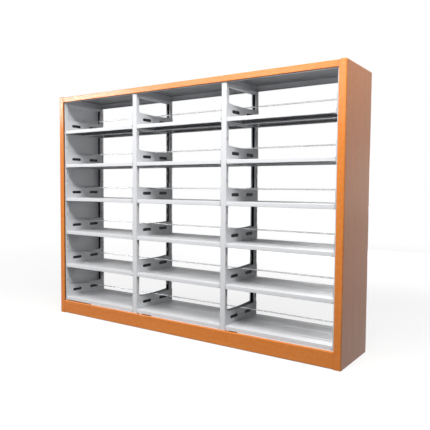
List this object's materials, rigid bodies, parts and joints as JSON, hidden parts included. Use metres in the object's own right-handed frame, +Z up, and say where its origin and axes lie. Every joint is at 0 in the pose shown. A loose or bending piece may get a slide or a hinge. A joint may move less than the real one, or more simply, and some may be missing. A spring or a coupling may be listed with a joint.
{
  "type": "double sided library shelving",
  "caption": "Long two-sided library shelving: open uprights, folded shelf boards hung on slotted posts, book stop rods, wood-tone end guards, fascias and kick plates.",
  "frame": {"origin": "on the floor, under the middle of the shelving", "axes": "+X along the length, +Y to the rear side, +Z up"},
  "size_m": [2.74, 0.5, 2],
  "materials": {
    "grey_enamel": "light grey powder coat, semi-gloss",
    "shelf_enamel": "pale grey powder coat, semi-gloss",
    "wood_tone_enamel": "orange-brown wood-tone coat, semi-gloss",
    "plated_steel": "bright zinc plate",
    "foot_plastic": "moulded black plastic"
  },
  "bodies": {
    "frame": {"middle_posts": "grey_enamel", "end_posts": "grey_enamel", "cross_rails": "grey_enamel", "post_feet": "foot_plastic", "left_end_guard": "wood_tone_enamel", "right_end_guard": "wood_tone_enamel", "guard_brackets": "grey_enamel", "end_liners": "grey_enamel", "fascias": "wood_tone_enamel", "kick_plates": "wood_tone_enamel", "top_panels": "grey_enamel", "base_boards": "shelf_enamel", "base_hangers": "grey_enamel", "base_stop_rods": "plated_steel"},
    "left_shelf_1": {"left_shelf_1_boards": "shelf_enamel", "left_shelf_1_hangers": "grey_enamel", "left_shelf_1_stop_rod": "plated_steel"},
    "left_shelf_2": {"left_shelf_2_boards": "shelf_enamel", "left_shelf_2_hangers": "grey_enamel", "left_shelf_2_stop_rod": "plated_steel"},
    "left_shelf_3": {"left_shelf_3_boards": "shelf_enamel", "left_shelf_3_hangers": "grey_enamel", "left_shelf_3_stop_rod": "plated_steel"},
    "left_shelf_4": {"left_shelf_4_boards": "shelf_enamel", "left_shelf_4_hangers": "grey_enamel", "left_shelf_4_stop_rod": "plated_steel"},
    "left_shelf_5": {"left_shelf_5_boards": "shelf_enamel", "left_shelf_5_hangers": "grey_enamel", "left_shelf_5_stop_rod": "plated_steel"},
    "centre_shelf_1": {"centre_shelf_1_boards": "shelf_enamel", "centre_shelf_1_hangers": "grey_enamel", "centre_shelf_1_stop_rod": "plated_steel"},
    "centre_shelf_2": {"centre_shelf_2_boards": "shelf_enamel", "centre_shelf_2_hangers": "grey_enamel", "centre_shelf_2_stop_rod": "plated_steel"},
    "centre_shelf_3": {"centre_shelf_3_boards": "shelf_enamel", "centre_shelf_3_hangers": "grey_enamel", "centre_shelf_3_stop_rod": "plated_steel"},
    "centre_shelf_4": {"centre_shelf_4_boards": "shelf_enamel", "centre_shelf_4_hangers": "grey_enamel", "centre_shelf_4_stop_rod": "plated_steel"},
    "centre_shelf_5": {"centre_shelf_5_boards": "shelf_enamel", "centre_shelf_5_hangers": "grey_enamel", "centre_shelf_5_stop_rod": "plated_steel"},
    "right_shelf_1": {"right_shelf_1_boards": "shelf_enamel", "right_shelf_1_hangers": "grey_enamel", "right_shelf_1_stop_rod": "plated_steel"},
    "right_shelf_2": {"right_shelf_2_boards": "shelf_enamel", "right_shelf_2_hangers": "grey_enamel", "right_shelf_2_stop_rod": "plated_steel"},
    "right_shelf_3": {"right_shelf_3_boards": "shelf_enamel", "right_shelf_3_hangers": "grey_enamel", "right_shelf_3_stop_rod": "plated_steel"},
    "right_shelf_4": {"right_shelf_4_boards": "shelf_enamel", "right_shelf_4_hangers": "grey_enamel", "right_shelf_4_stop_rod": "plated_steel"},
    "right_shelf_5": {"right_shelf_5_boards": "shelf_enamel", "right_shelf_5_hangers": "grey_enamel", "right_shelf_5_stop_rod": "plated_steel"}
  },
  "joints": [
    {"name": "left_shelf_1_lift", "type": "slide", "parent": "frame", "child": "left_shelf_1", "axis": [0, 0, 1], "range_m": [0, 0.012]},
    {"name": "left_shelf_2_lift", "type": "slide", "parent": "frame", "child": "left_shelf_2", "axis": [0, 0, 1], "range_m": [0, 0.012]},
    {"name": "left_shelf_3_lift", "type": "slide", "parent": "frame", "child": "left_shelf_3", "axis": [0, 0, 1], "range_m": [0, 0.012]},
    {"name": "left_shelf_4_lift", "type": "slide", "parent": "frame", "child": "left_shelf_4", "axis": [0, 0, 1], "range_m": [0, 0.012]},
    {"name": "left_shelf_5_lift", "type": "slide", "parent": "frame", "child": "left_shelf_5", "axis": [0, 0, 1], "range_m": [0, 0.012]},
    {"name": "centre_shelf_1_lift", "type": "slide", "parent": "frame", "child": "centre_shelf_1", "axis": [0, 0, 1], "range_m": [0, 0.012]},
    {"name": "centre_shelf_2_lift", "type": "slide", "parent": "frame", "child": "centre_shelf_2", "axis": [0, 0, 1], "range_m": [0, 0.012]},
    {"name": "centre_shelf_3_lift", "type": "slide", "parent": "frame", "child": "centre_shelf_3", "axis": [0, 0, 1], "range_m": [0, 0.012]},
    {"name": "centre_shelf_4_lift", "type": "slide", "parent": "frame", "child": "centre_shelf_4", "axis": [0, 0, 1], "range_m": [0, 0.012]},
    {"name": "centre_shelf_5_lift", "type": "slide", "parent": "frame", "child": "centre_shelf_5", "axis": [0, 0, 1], "range_m": [0, 0.012]},
    {"name": "right_shelf_1_lift", "type": "slide", "parent": "frame", "child": "right_shelf_1", "axis": [0, 0, 1], "range_m": [0, 0.012]},
    {"name": "right_shelf_2_lift", "type": "slide", "parent": "frame", "child": "right_shelf_2", "axis": [0, 0, 1], "range_m": [0, 0.012]},
    {"name": "right_shelf_3_lift", "type": "slide", "parent": "frame", "child": "right_shelf_3", "axis": [0, 0, 1], "range_m": [0, 0.012]},
    {"name": "right_shelf_4_lift", "type": "slide", "parent": "frame", "child": "right_shelf_4", "axis": [0, 0, 1], "range_m": [0, 0.012]},
    {"name": "right_shelf_5_lift", "type": "slide", "parent": "frame", "child": "right_shelf_5", "axis": [0, 0, 1], "range_m": [0, 0.012]}
  ]
}
